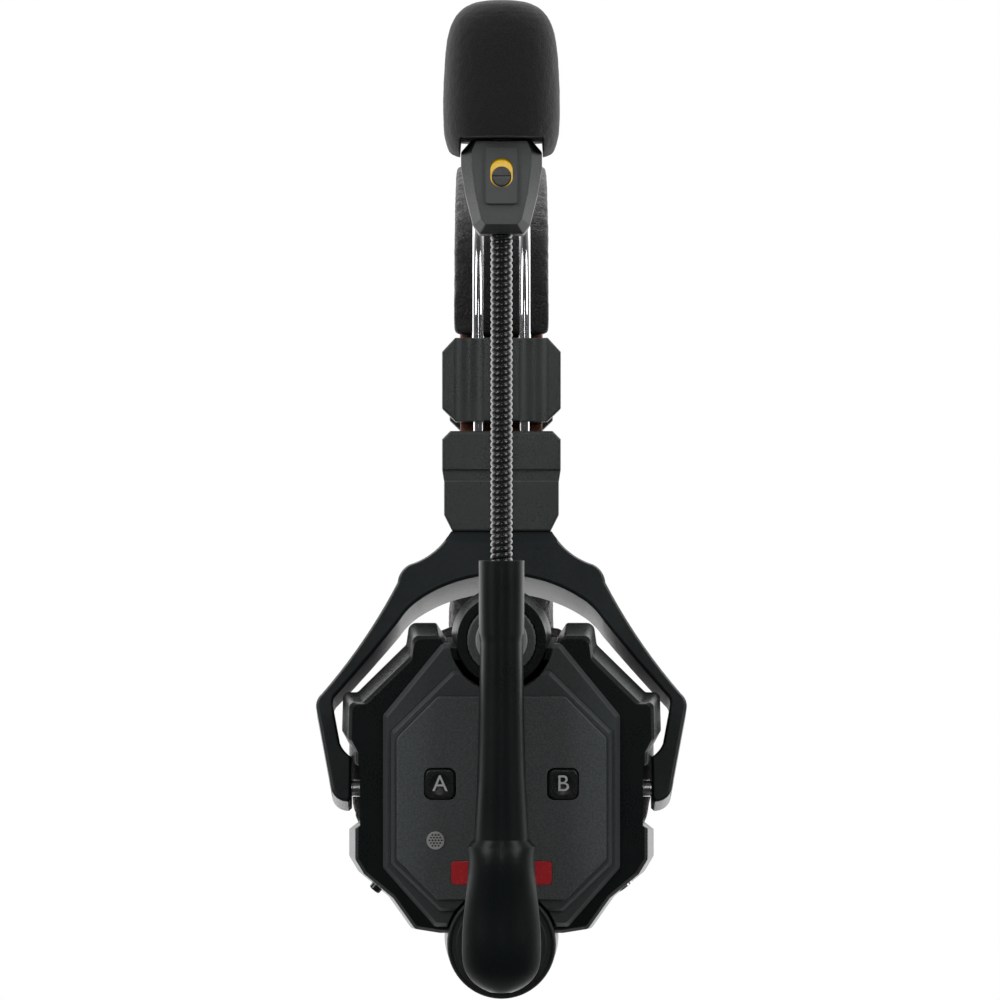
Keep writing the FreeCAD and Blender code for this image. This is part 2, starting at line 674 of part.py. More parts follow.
def main_board():
    """Circuit board behind the face, cut clear of the bosses, posts and charging port."""
    body = cup_prism(both(PANEL), 1.0, 7.7, 9.3, 1.1)
    body = body.cut(cup_disc(0, DIAL_Z, 11.0, 0, 20)).cut(cup_disc(0, PIVOT_Z, 12.4, 0, 20))
    for x, z in CASE_SCREWS:
        body = body.cut(cup_disc(x, z, POST_R + 0.3, 0, 20))
    body = body.cut(on_flank(Part.makeBox(12, 9.6, 3.6, V(-5.8, -4.8, -1.8)), 1))
    return body.cut(on_flank(Part.makeBox(14, 5, 5, V(-8.5, -2.5, -2.5)), -1))


def battery_cell():
    return cup_box(0, 2.0, 34.0, 24.0, 9.7, 14.3, 1.2)


def driver_magnet():
    return cup_disc(0, CUSHION_UP, 10.0, 15.0, 18.4)


def driver_frame():
    """Pressed basket between the magnet and the baffle, with a flange at its rim."""
    basket = cup_cone(0, CUSHION_UP, 12.0, 18.6, 18.4, 22.6)
    basket = basket.cut(cup_cone(0, CUSHION_UP, 10.8, 17.4, 19.2, 22.7))
    flange = cup_disc(0, CUSHION_UP, DRIVER_R, 22.6, 24.9).cut(
        cup_disc(0, CUSHION_UP, 17.4, 22.5, 25))
    for i in range(8):
        angle = 2 * math.pi * i / 8
        x, z = 14.2 * math.sin(angle), 14.2 * math.cos(angle)
        basket = basket.cut(cup_disc(x, CUSHION_UP + z, 2.0, 18, 23))
    return basket.fuse(flange).removeSplitter()


def driver_diaphragm():
    """Thin shallow dome stretched across the basket."""
    dome_r = 150.0
    top = dome_r - 24.3
    ball = Part.makeSphere(dome_r, on_cup(0, -top, CUSHION_UP))
    skin = ball.cut(Part.makeSphere(dome_r - 0.3, on_cup(0, -top, CUSHION_UP)))
    return skin.common(cup_disc(0, CUSHION_UP, 17.3, 20, 26))


def baffle_plate():
    """Round plate that the ear cushion hooks onto, with rings of holes over the speaker."""
    body = cup_disc(0, CUSHION_UP, CUSHION_R - 1.6, BACK, BACK + 1.4)
    for ring, count in ((0, 1), (4.0, 6), (8.0, 12), (12.0, 18)):
        for i in range(count):
            angle = 2 * math.pi * i / count
            x, z = ring * math.sin(angle), ring * math.cos(angle)
            body = body.cut(cup_disc(x, CUSHION_UP + z, 1.2, BACK - 1, BACK + 2))
    return body


def ear_cloth():
    return cup_disc(0, CUSHION_UP, GRILLE_R - 0.2, BACK + 1.4, BACK + 1.7)


def ear_cushion():
    """Soft ring that rests on the ear."""
    body = cup_disc(0, CUSHION_UP, CUSHION_R, BACK + 1.4, CUSHION_END)
    body = body.cut(cup_disc(0, CUSHION_UP, GRILLE_R, BACK, CUSHION_END + 1))
    return soften(body, 5.0, lambda c, e: c.y > FACE_Y + CUSHION_END - 0.01)


def case_screws():
    """Screws from the rear shell into the front shell's posts."""
    screws = []
    for x, z in CASE_SCREWS:
        one = screw(SCREW_R, 13.0, 1.1)
        one.rotate(V(0, 0, 0), Z_AXIS, 180)
        one.translate(on_cup(x, BACK - 0.1, z))
        screws.append(one)
    return group(screws)


# ---- boom ----
ARM_FRONT = -12.6
ARM_SPLIT = -7.8
ARM_BACK = -3.4
ARM_TOP = 76.9
HEAD_LOW = 141.4
HEAD_FRONT = -14.6
HEAD_SPLIT = -8.5
HEAD_BACK = -3.4
FOAM_LOW = 157.0
FOAM_TOP = 187.7
CAPSULE_R = 4.0
RIB_PITCH = 1.24
RIB_HEIGHT = 0.35
CAPSULE_LOW = 156.3
CAPSULE_TOP = 171.1


def boom_wire(points, radii, depth):
    """Outline in the boom's plane, with heights measured from the boom pivot."""
    return corner_wire(points, radii, lambda p: on_cup(p.x, depth, PIVOT_Z + p.y))


def boom_prism(points, radii, depth, end):
    return Part.Face(boom_wire(points, radii, depth)).extrude(Y_AXIS * (end - depth))


# Sections of the arm: height above the pivot, half width, and depth of the crowned front.
ARM_FOOT = [(-8.6, 2.0, -9.4), (-7.3, 4.7, -10.6), (-4.9, 6.9, -11.8), (-0.7, 7.8, -12.6), (4.0, 7.7, -12.6),
            (8.5, 7.3, -12.6), (20.2, 6.6, -12.5)]
ARM_SHAFT = [ARM_FOOT[-1], (21.7, 5.4, -12.3), (34.6, 4.75, -12.2), (60.8, 4.2, -12.0), (62.3, 4.5, -12.0),
             (ARM_TOP, 4.5, -11.8)]


def arm_section(height, half_width, front, inset):
    """One cross-section of the arm: crowned front, straight sides, chamfered flat back."""
    w = half_width - inset
    f = front + inset
    b = ARM_BACK - inset
    side = ARM_SPLIT - 0.8

    def p(x, depth):
        return on_cup(x, depth, PIVOT_Z + height)

    corners = [p(w, side), p(w, b - 1), p(w - 1, b), p(1 - w, b), p(-w, b - 1), p(-w, side)]
    edges = [Part.LineSegment(corners[i], corners[i + 1]).toShape() for i in range(5)]
    edges.append(Part.Arc(p(-w, side), p(0, f), p(w, side)).toShape())
    return Part.Wire(edges)


def arm_solid(inset=0.0, low=-100.0, high=100.0):
    """Arm with a rounded foot, a straight tapering shaft and a collar at its top."""
    foot = [arm_section(*row, inset) for row in ARM_FOOT if row[0] > low]
    shaft = [arm_section(*row, inset) for row in ARM_SHAFT if row[0] < high]
    return Part.makeLoft(foot, True, False).fuse(Part.makeLoft(shaft, True, True))


def boom_arm_outer():
    """Front moulding of the arm, hollow along its waist and foot."""
    split = on_cup(0, ARM_SPLIT, 0).y
    half = arm_solid().common(Part.makeBox(40, 20, 200, V(-20, split - 20, PIN_Z + PIVOT_Z - 20)))
    half = half.cut(arm_solid(1.3, -6.0, 61.0))
    return half.cut(boom_cylinder(GOOSENECK_R, ARM_TOP - 9, ARM_TOP + 1))


def boom_cylinder(radius, low, high):
    return Part.makeCylinder(radius, high - low, on_cup(0, BOOM_AXIS_DEPTH, PIVOT_Z + low), Z_AXIS)


def boom_arm_inner():
    """Back moulding of the arm, with a foot that runs on the pivot ring."""
    split = on_cup(0, ARM_SPLIT, 0).y
    half = arm_solid().common(Part.makeBox(40, 20, 200, V(-20, split, PIN_Z + PIVOT_Z - 20)))
    half = half.fuse(cup_disc(0, PIVOT_Z, 7.4, ARM_SPLIT + 1, -1.1))
    half = half.cut(cup_disc(0, PIVOT_Z, SHAFT_R, -9, 1))
    half = half.cut(cup_disc(0, PIVOT_Z, SHAFT_R + 1.9, -9, -6.5))
    return half.cut(boom_cylinder(GOOSENECK_R, ARM_TOP - 9, ARM_TOP + 1)).removeSplitter()


def boom_pivot_ring():
    """Trim ring on the lower boss, with a shallow groove round its face."""
    body = cup_disc(0, PIVOT_Z, 10.8, -0.9, 0.6)
    body = soften(body, 0.3, lambda c, e: c.y < FACE_Y - 0.89)
    groove = cup_disc(0, PIVOT_Z, 10.2, -2, -0.6).cut(cup_disc(0, PIVOT_Z, 9.0, -2, 0))
    return body.cut(groove).cut(cup_disc(0, PIVOT_Z, SHAFT_R + 0.05, -2, 1))


def boom_pivot_shaft():
    """Flanged shaft, fixed in the arm, with a groove for the retaining clip."""
    body = cup_disc(0, PIVOT_Z, SHAFT_R, -7.2, 8.4)
    body = body.fuse(cup_disc(0, PIVOT_Z, SHAFT_R + 1.9, -7.4, -6.5))
    groove = cup_disc(0, PIVOT_Z, 5, 6.4, 7.2).cut(cup_disc(0, PIVOT_Z, 2.8, 6, 8))
    return body.cut(groove).cut(cup_disc(0, PIVOT_Z, 1.6, -8, 9)).removeSplitter()


def wave_washer():
    return cup_disc(0, PIVOT_Z, 6.4, 5.1, 5.9).cut(cup_disc(0, PIVOT_Z, SHAFT_R + 0.2, 5, 6))


def retaining_clip():
    """Open clip in the shaft's groove."""
    body = cup_disc(0, PIVOT_Z, 5.4, 6.5, 7.1).cut(cup_disc(0, PIVOT_Z, 2.85, 6, 8))
    return body.cut(Part.makeBox(3.0, 4, 8, on_cup(-1.5, 5, PIVOT_Z - 8)))


def gooseneck():
    """Flexible ribbed neck: a core with evenly spaced ribs."""
    pitch = RIB_PITCH
    low, high = ARM_TOP - 8.8, HEAD_LOW + 6
    core = boom_cylinder(GOOSENECK_R - RIB_HEIGHT, low, high)
    ends = [boom_cylinder(GOOSENECK_R, low, ARM_TOP), boom_cylinder(GOOSENECK_R, HEAD_LOW, high)]
    body = core.fuse(ends)
    count = int((HEAD_LOW - ARM_TOP) / pitch)
    ribs = [boom_cylinder(GOOSENECK_R, ARM_TOP + pitch * (i + 0.3), ARM_TOP + pitch * (i + 0.9))
            for i in range(count)]
    return body.fuse(ribs).removeSplitter()


HEAD_OUTLINE = [(5.9, 159.9), (8.0, 157.5), (8.0, 154.5), (7.1, 149.1), (5.6, 143.1),
                (4.4, HEAD_LOW)]
HEAD_RADII = [0.8, 1.0, 2.0, 2.0, 0.8, 0.5]
HEAD_FACE = [(5.0, 159.5), (5.8, 157.5), (5.8, 154.5), (5.1, 149.1), (4.0, 144.3), (3.2, 143.1)]
HEAD_SHOULDER = -11.6    # depth where the sloping facets of the head begin


def head_body():
    """Microphone head: a tapering block whose front is drawn in by sloping facets."""
    radii = both_radii(HEAD_RADII)
    body = boom_prism(both(HEAD_OUTLINE), radii, HEAD_SHOULDER, HEAD_BACK)
    wires = [boom_wire(both(HEAD_OUTLINE), radii, HEAD_SHOULDER),
             boom_wire(both(HEAD_FACE), [r * 0.6 for r in radii], HEAD_FRONT)]
    return body.fuse(Part.makeLoft(wires, True, True)).removeSplitter()


def head_cuts():
    """Room in the microphone head for the capsule tube, the gooseneck and the switch."""
    return [boom_cylinder(CAPSULE_R, CAPSULE_LOW, CAPSULE_TOP + 2),
            boom_cylinder(GOOSENECK_R, HEAD_LOW - 1, HEAD_LOW + 6)]


def mic_head_front():
    """Front cover of the microphone head, with a raised panel and the switch window."""
    half = head_body().common(Part.makeBox(40, 20, 60, on_cup(-20, HEAD_SPLIT - 20, PIVOT_Z + 120)))
    raised = [(3.1, 158.3), (3.1, 147.1)]
    half = half.fuse(boom_prism(both(raised), 0.5, HEAD_FRONT - 0.7, HEAD_FRONT + 1))
    window = both([(2.25, 156.0), (2.25, 150.4)])
    half = half.cut(boom_prism(window, 2.1, HEAD_FRONT - 2, HEAD_SPLIT - 3.0))
    for tool in head_cuts():
        half = half.cut(tool)
    return half.removeSplitter()


def mic_head_rear():
    half = head_body().common(Part.makeBox(40, 20, 60, on_cup(-20, HEAD_SPLIT, PIVOT_Z + 120)))
    half = soften(half, 1.2, lambda c, e: c.y > FACE_Y + HEAD_BACK - 0.01)
    for tool in head_cuts():
        half = half.cut(tool)
    return half


def switch_window():
    """Bright insert behind the noise switch, seen when the switch is down."""
    outline = both([(2.2, 155.95), (2.2, 150.45)])
    return boom_prism(outline, 2.05, HEAD_SPLIT - 4.0, HEAD_SPLIT - 3.1)


def noise_switch():
    """Round slider in the window, with a line across it."""
    body = Part.makeCylinder(1.95, 2.0, on_cup(0, HEAD_FRONT - 0.5, PIVOT_Z + 152.5), Y_AXIS)
    body = soften(body, 0.3, lambda c, e: c.y < FACE_Y + HEAD_FRONT - 0.49)
    line = Part.makeBox(4, 0.3, 0.25, on_cup(-2, HEAD_FRONT - 0.6, PIVOT_Z + 152.4))
    return body.cut(line)


def mic_capsule():
    """Microphone capsule in its tube, inside the foam."""
    body = boom_cylinder(CAPSULE_R, CAPSULE_LOW, CAPSULE_TOP)
    body = soften(body, 0.8, lambda c, e: c.z > on_cup(0, 0, PIVOT_Z + CAPSULE_TOP).z - 0.01)
    for i in range(6):
        angle = math.pi * i / 6
        slot = Part.makeBox(9, 1.0, 3.0, V(-4.5, -0.5, 0))
        slot.rotate(V(0, 0, 0), Z_AXIS, math.degrees(angle))
        slot.translate(on_cup(0, BOOM_AXIS_DEPTH, PIVOT_Z + CAPSULE_TOP - 6))
        ring = slot.cut(Part.makeCylinder(3.4, 3.0, on_cup(0, BOOM_AXIS_DEPTH, PIVOT_Z + CAPSULE_TOP - 6), Z_AXIS))
        body = body.cut(ring)
    return body


def foam_windscreen():
    """Bulb of foam with a domed top, notched for the head and hollow for the capsule."""
    axis = on_cup(0, BOOM_AXIS_DEPTH, PIVOT_Z)
    head_top, head_width = 160.1, 16.4

    def p(r, h):
        return axis + V(r, 0, h)

    curves = [
        Part.LineSegment(p(0, FOAM_LOW), p(9.4, FOAM_LOW)),
        Part.Arc(p(9.4, FOAM_LOW), p(10.8, FOAM_LOW + 1.6), p(11.4, FOAM_LOW + 5.6)),
        Part.Arc(p(11.4, FOAM_LOW + 5.6), p(11.2, FOAM_TOP - 12.6), p(9.6, FOAM_TOP - 4.6)),
        Part.Arc(p(9.6, FOAM_TOP - 4.6), p(6.6, FOAM_TOP - 1.4), p(2.0, FOAM_TOP)),
        Part.LineSegment(p(2.0, FOAM_TOP), p(0, FOAM_TOP)),
        Part.LineSegment(p(0, FOAM_TOP), p(0, FOAM_LOW)),
    ]
    bulb = Part.Face(Part.Wire([c.toShape() for c in curves])).revolve(axis, Z_AXIS, 360)
    notch = Part.makeBox(head_width, 30, head_top - FOAM_LOW + 1, p(-head_width / 2, FOAM_LOW - 1) - Y_AXIS * 15)
    return bulb.cut(notch).cut(boom_cylinder(CAPSULE_R + 0.2, FOAM_LOW, CAPSULE_TOP + 0.2))


# ---- temple pad side, drawn like the yoke and then mirrored ----
HINGE_H = 28.0           # height of the pad hinge along the arm's lean
HINGE_Y = 4.6
HINGE_R = 2.6
HINGE_PIN_R = 1.2
PAD_LEAN = 17.0          # degrees that the pad leans with its top towards the head
PLATE_Y = 3.0            # front of the plate behind the hinge
PLATE_THICK = 2.2
PLATE_WIDTH = 24.0
PLATE_HEIGHT = 44.0
PAD_DEPTH = 11.0


def pad_arm():
    """Flat arm that hangs from the lower block and ends in the pad's hinge boss."""
    half = [(8.0, 66.0), (8.0, 50.0), (6.0, 44.0), (6.0, HINGE_H - 3.0), (4.0, HINGE_H - 5.0)]
    radii = [0, 4.0, 4.0, 1.5, 1.5]
    body = upright_prism(both(half), both_radii(radii), -2.2, 1.8)
    body = soften(body, 0.5, lambda c, e: c.y < -2.19 and c.z < 60)
    boss = Part.makeCylinder(HINGE_R, 8.0, V(-4, HINGE_Y, HINGE_H), X_AXIS)
    neck = block(0, 0, HINGE_H - HINGE_R, 8.0, HINGE_Y, 2 * HINGE_R)
    pin_hole = Part.makeCylinder(HINGE_PIN_R + 0.03, 10, V(-5, HINGE_Y, HINGE_H), X_AXIS)
    body = leaned(body.fuse([boss, neck]).removeSplitter().cut(pin_hole))
    body = body.cut(on_blocks(block(0, -20, HANGER_LOW, 60, 40, 40)))
    width, depth, height = TONGUE
    tongue = on_blocks(block(0, -depth / 2, HANGER_LOW - 1, width, depth, height + 1))
    return body.fuse(tongue).removeSplitter()


def on_hinge(shape):
    """Place a shape drawn about the pad's hinge pin."""
    return leaned(shape, PAD_LEAN, HINGE_Y, HINGE_H)


def pad_plate():
    """Stiff plate behind the pad, with two hinge lugs."""
    w, h = PLATE_WIDTH / 2, PLATE_HEIGHT / 2
    body = upright_prism(both([(w, h), (w, -h)]), 7.0, PLATE_Y, PLATE_Y + PLATE_THICK)
    for x in (-5.8, 5.8):
        lug = block(x, 0, -HINGE_R, 3.0, PLATE_Y + 0.2, 2 * HINGE_R)
        eye = Part.makeCylinder(HINGE_R, 3.0, V(x - 1.5, 0, 0), X_AXIS)
        body = body.fuse([lug, eye])
    pin_hole = Part.makeCylinder(HINGE_PIN_R, 16, V(-8, 0, 0), X_AXIS)
    return on_hinge(body.removeSplitter().cut(pin_hole))


def pad_hinge_pin():
    return on_hinge(Part.makeCylinder(HINGE_PIN_R, 14.6, V(-7.3, 0, 0), X_AXIS))


def temple_pad():
    """Soft pad on the plate."""
    w, h = PLATE_WIDTH / 2 + 1, PLATE_HEIGHT / 2 + 1
    y0 = PLATE_Y + PLATE_THICK
    body = upright_prism(both([(w, h), (w, -h)]), 8.0, y0, y0 + PAD_DEPTH)
    return on_hinge(soften(body, 4.0, lambda c, e: c.y > y0 + PAD_DEPTH - 0.01))


# ---- all sub-parts ----
def ear_side_blocks(prefix, place):
    """The slider and lower blocks, which are the same on both sides."""
    return {
        prefix + "clamp_outer": place(clamp_outer()),
        prefix + "clamp_inner": place(clamp_inner()),
        prefix + "extension_rods": place(extension_rods()),
        prefix + "hanger_outer": place(hanger_outer()),
        prefix + "hanger_inner": place(hanger_inner()),
        prefix + "hanger_screws": place(block_screws(HANGER_SCREWS, HANGER_BACK, 7.2)),
    }


parts = {
    "headband_rods": headband_rods(),
    "headband_cushion": headband_cushion(),
    "headband_lining": headband_lining(),
    "clamp_screws": clamp_screws(),
    "yoke": yoke(),
    "pivot_pins": pivot_pins(),
    "pivot_bushes": pivot_bushes(),
    "cup_front_shell": cup_front_shell(),
    "cup_rear_shell": cup_rear_shell(),
    "cup_bezel_outer": cup_bezel_outer(),
    "cup_bezel_inner": cup_bezel_inner(),
    "face_panel": face_panel(),
    "label_plate": label_plate(),
    "button_a": face_button(-BUTTON_X),
    "button_b": face_button(BUTTON_X),
    "call_button": call_button(),
    "ambient_mesh": ambient_mesh(),
    "volume_dial": volume_dial(),
    "volume_dial_cap": volume_dial_cap(),
    "main_board": main_board(),
    "battery_cell": battery_cell(),
    "usb_port": usb_port(),
    "power_button": power_button(),
    "board_parts": board_parts(),
    "driver_magnet": driver_magnet(),
    "driver_frame": driver_frame(),
    "driver_diaphragm": driver_diaphragm(),
    "baffle_plate": baffle_plate(),
    "ear_cloth": ear_cloth(),
    "ear_cushion": ear_cushion(),
    "case_screws": case_screws(),
    "boom_pivot_ring": boom_pivot_ring(),
    "boom_pivot_shaft": boom_pivot_shaft(),
    "wave_washer": wave_washer(),
    "retaining_clip": retaining_clip(),
    "boom_arm_outer": boom_arm_outer(),
    "boom_arm_inner": boom_arm_inner(),
    "gooseneck": gooseneck(),
    "mic_head_front": mic_head_front(),
    "mic_head_rear": mic_head_rear(),
    "switch_window": switch_window(),
    "noise_switch": noise_switch(),
    "mic_capsule": mic_capsule(),
    "foam_windscreen": foam_windscreen(),
    "pad_arm": far_side(pad_arm()),
    "pad_plate": far_side(pad_plate()),
    "pad_hinge_pin": far_side(pad_hinge_pin()),
    "temple_pad": far_side(temple_pad()),
}
parts.update(ear_side_blocks("cup_side_", lambda shape: shape))
parts.update(ear_side_blocks("pad_side_", far_side))

os.makedirs("parts", exist_ok=True)
for name, shape in parts.items():
    solids = shape.Solids
    result = solids[0] if len(solids) == 1 else Part.makeCompound(solids)
    result.exportStep("parts/" + name + ".step")
    print(name, len(solids), result.isValid(), round(result.Volume, 1))
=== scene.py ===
import json
import math

import bpy
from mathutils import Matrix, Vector, noise


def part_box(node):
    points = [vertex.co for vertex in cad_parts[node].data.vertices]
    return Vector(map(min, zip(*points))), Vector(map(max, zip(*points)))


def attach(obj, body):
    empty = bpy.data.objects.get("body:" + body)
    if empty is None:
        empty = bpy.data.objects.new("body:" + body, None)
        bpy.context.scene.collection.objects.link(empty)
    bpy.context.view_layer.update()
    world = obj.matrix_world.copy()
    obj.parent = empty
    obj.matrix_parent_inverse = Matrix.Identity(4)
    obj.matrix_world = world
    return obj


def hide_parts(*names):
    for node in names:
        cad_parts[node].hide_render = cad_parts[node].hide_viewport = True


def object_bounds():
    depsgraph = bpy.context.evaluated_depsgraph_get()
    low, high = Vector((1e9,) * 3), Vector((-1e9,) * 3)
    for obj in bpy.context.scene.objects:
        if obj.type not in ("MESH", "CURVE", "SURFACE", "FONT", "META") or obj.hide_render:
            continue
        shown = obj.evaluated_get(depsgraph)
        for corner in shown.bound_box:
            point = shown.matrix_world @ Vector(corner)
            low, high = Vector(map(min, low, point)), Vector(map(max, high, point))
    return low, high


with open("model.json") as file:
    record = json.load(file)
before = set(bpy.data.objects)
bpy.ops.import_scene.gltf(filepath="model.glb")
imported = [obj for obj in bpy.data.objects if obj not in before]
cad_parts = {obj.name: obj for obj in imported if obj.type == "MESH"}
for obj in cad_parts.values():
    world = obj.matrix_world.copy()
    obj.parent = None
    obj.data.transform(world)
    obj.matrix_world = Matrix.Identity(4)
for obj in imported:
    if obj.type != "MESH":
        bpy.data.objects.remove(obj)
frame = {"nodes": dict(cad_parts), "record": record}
cad_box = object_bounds()

MM = 0.001
Z_AXIS = Vector((0, 0, 1))


# ---- material nodes ----
class Graph:
    """A material's node tree, with short calls for the nodes that the materials share."""

    def __init__(self, name):
        self.material = bpy.data.materials.new(name)
        self.material.use_nodes = True
        self.tree = self.material.node_tree
        self.shader = self.tree.nodes["Principled BSDF"]
        self.coords = self.add("ShaderNodeTexCoord").outputs["Object"]

    def add(self, kind, **settings):
        node = self.tree.nodes.new(kind)
        for key, value in settings.items():
            setattr(node, key, value)
        return node

    def feed(self, source, target):
        """Link a socket, or set a plain value."""
        if isinstance(source, bpy.types.NodeSocket):
            self.tree.links.new(source, target)
        else:
            target.default_value = source

    def set(self, **values):
        """Set or link sockets of the shader by name, with _ for a space."""
        for key, value in values.items():
            self.feed(value, self.shader.inputs[key.replace("_", " ")])

    def stretch(self, x, y, z):
        """Object coordinates scaled along each axis."""
        node = self.add("ShaderNodeMapping")
        node.inputs["Scale"].default_value = (x, y, z)
        self.feed(self.coords, node.inputs["Vector"])
        return node.outputs["Vector"]

    def noise(self, size, detail=2.0, roughness=0.5, coords=None):
        """Noise whose blotches are about size metres wide."""
        node = self.add("ShaderNodeTexNoise")
        node.inputs["Scale"].default_value = 1 / size
        node.inputs["Detail"].default_value = detail
        node.inputs["Roughness"].default_value = roughness
        self.feed(coords or self.coords, node.inputs["Vector"])
        return node.outputs["Fac"]

    def cells(self, size, feature="F1", coords=None):
        """Distance to the nearest of cells about size metres apart."""
        node = self.add("ShaderNodeTexVoronoi", feature=feature)
        node.inputs["Scale"].default_value = 1 / size
        self.feed(coords or self.coords, node.inputs["Vector"])
        return node.outputs["Distance"]

    def remap(self, value, low, high, to_low, to_high):
        node = self.add("ShaderNodeMapRange")
        for key, number in (("From Min", low), ("From Max", high), ("To Min", to_low), ("To Max", to_high)):
            node.inputs[key].default_value = number
        self.feed(value, node.inputs["Value"])
        return node.outputs["Result"]

    def math(self, operation, a, b):
        node = self.add("ShaderNodeMath", operation=operation)
        self.feed(a, node.inputs[0])
        self.feed(b, node.inputs[1])
        return node.outputs[0]

    def mix(self, factor, first, second):
        """Colour between two colours."""
        node = self.add("ShaderNodeMix", data_type="RGBA")
        self.feed(factor, node.inputs["Factor"])
        for colour, socket in ((first, node.inputs[6]), (second, node.inputs[7])):
            if isinstance(colour, tuple):
                colour = (*colour, 1.0)
            self.feed(colour, socket)
        return node.outputs[2]

    def rounded(self, radius):
        """Surface normal with its sharp edges rounded by a radius."""
        node = self.add("ShaderNodeBevel", samples=6)
        node.inputs["Radius"].default_value = radius
        return node.outputs["Normal"]

    def edges(self, radius):
        """1 on sharp edges and 0 on open faces."""
        node = self.add("ShaderNodeVectorMath", operation="DOT_PRODUCT")
        self.feed(self.rounded(radius), node.inputs[0])
        self.feed(self.add("ShaderNodeNewGeometry").outputs["Normal"], node.inputs[1])
        return self.remap(node.outputs["Value"], 0.98, 0.80, 0.0, 1.0)

    def bump(self, height, depth, strength=1.0, normal=None):
        node = self.add("ShaderNodeBump")
        node.inputs["Strength"].default_value = strength
        node.inputs["Distance"].default_value = depth
        self.feed(height, node.inputs["Height"])
        if normal:
            self.feed(normal, node.inputs["Normal"])
        return node.outputs["Normal"]


def tinted(colour, gain):
    return tuple(c * gain for c in colour)


def coated(name, colour, grain=0.35 * MM, depth=0.02 * MM, rough=0.42, metallic=0.0, wear=0.35,
           specular=0.5, edge=0.3 * MM, fleck=0.25):
    """Satin paint or moulded plastic: fine grain, uneven gloss and lighter worn edges."""
    g = Graph(name)
    fine = g.noise(grain, 3.0, 0.6)
    broad = g.noise(14 * MM, 2.0)
    body = g.mix(broad, tinted(colour, 0.85), tinted(colour, 1.15))
    speck = g.remap(fine, 0.35, 0.65, 0.0, fleck)
    body = g.mix(speck, body, tinted(colour, 2.6))
    scuffed = g.math("MULTIPLY", g.edges(edge), g.remap(g.noise(2.5 * MM, 4.0), 0.35, 0.7, 0.2, wear))
    body = g.mix(scuffed, body, tinted(colour, 6.0))
    gloss = g.math("ADD", g.remap(broad, 0.3, 0.7, rough - 0.04, rough + 0.04),
                   g.remap(fine, 0.3, 0.7, -0.05, 0.05))
    g.set(Base_Color=body, Roughness=gloss, Metallic=metallic, Specular_IOR_Level=specular)
    g.set(Normal=g.bump(fine, depth, 1.0, g.rounded(edge)))
    return g.material


def metal(name, colour, rough, brushed=(1, 1, 1), depth=0.004 * MM):
    """Bare metal with fine brush lines along the axis that is stretched least."""
    g = Graph(name)
    lines = g.noise(0.25 * MM, 3.0, 0.6, g.stretch(*brushed))
    smears = g.noise(9 * MM, 3.0)
    tone = g.mix(smears, tinted(colour, 0.92), tinted(colour, 1.06))
    gloss = g.math("ADD", g.remap(smears, 0.3, 0.7, rough * 0.7, rough * 1.4),
                   g.remap(lines, 0.3, 0.7, -0.02, 0.03))
    g.set(Base_Color=tone, Metallic=1.0, Roughness=gloss)
    g.set(Normal=g.bump(lines, depth, 1.0, g.rounded(0.15 * MM)))
    return g.material


def leather(name, colour, cell=0.7 * MM, crease=5 * MM, rough=0.5, wrinkle=0.25 * MM):
    """Grained leather: small raised cells, broad soft creases and duller hollows."""
    g = Graph(name)
    warp = g.add("ShaderNodeVectorMath", operation="ADD")
    shift = g.add("ShaderNodeTexNoise")
    shift.inputs["Scale"].default_value = 1 / (2.2 * MM)
    g.feed(g.coords, shift.inputs["Vector"])
    small = g.add("ShaderNodeVectorMath", operation="SCALE")
    small.inputs["Scale"].default_value = 0.8 * MM
    g.feed(shift.outputs["Color"], small.inputs[0])
    g.feed(g.coords, warp.inputs[0])
    g.feed(small.outputs[0], warp.inputs[1])
    pebbles = g.cells(cell, "DISTANCE_TO_EDGE", warp.outputs[0])
    pebble = g.remap(pebbles, 0.0, 0.22, 0.0, 1.0)
    creases = g.noise(crease, 4.0, 0.6)
    folds = g.remap(g.math("ABSOLUTE", g.math("SUBTRACT", creases, 0.5), 0.0), 0.0, 0.05, 0.0, 1.0)
    body = g.mix(pebble, tinted(colour, 0.55), colour)
    body = g.mix(g.remap(creases, 0.35, 0.7, 0.0, 0.5), body, tinted(colour, 1.7))
    g.set(Base_Color=body, Roughness=g.remap(pebble, 0.0, 1.0, rough + 0.25, rough))
    g.set(Specular_IOR_Level=0.4)
    height = g.math("ADD", g.math("MULTIPLY", pebble, 0.35), folds)
    g.set(Normal=g.bump(height, wrinkle, 0.5))
    return g.material


def foam_material():
    """Open-cell foam: dark pores between pale fibres, and no gloss."""
    g = Graph("foam_cells")
    pores = g.cells(0.30 * MM)
    fibres = g.noise(0.22 * MM, 3.0, 0.7)
    body = g.mix(g.remap(pores, 0.15, 0.75, 0.0, 1.0), (0.008, 0.008, 0.008), (0.017, 0.0165, 0.0165))
    body = g.mix(g.remap(fibres, 0.56, 0.72, 0.0, 0.45), body, (0.034, 0.033, 0.033))
    g.set(Base_Color=body, Roughness=0.95, Specular_IOR_Level=0.15)
    g.set(Sheen_Weight=0.25, Sheen_Roughness=0.6)
    g.set(Normal=g.bump(g.math("ADD", pores, fibres), 0.08 * MM, 0.7))
    return g.material


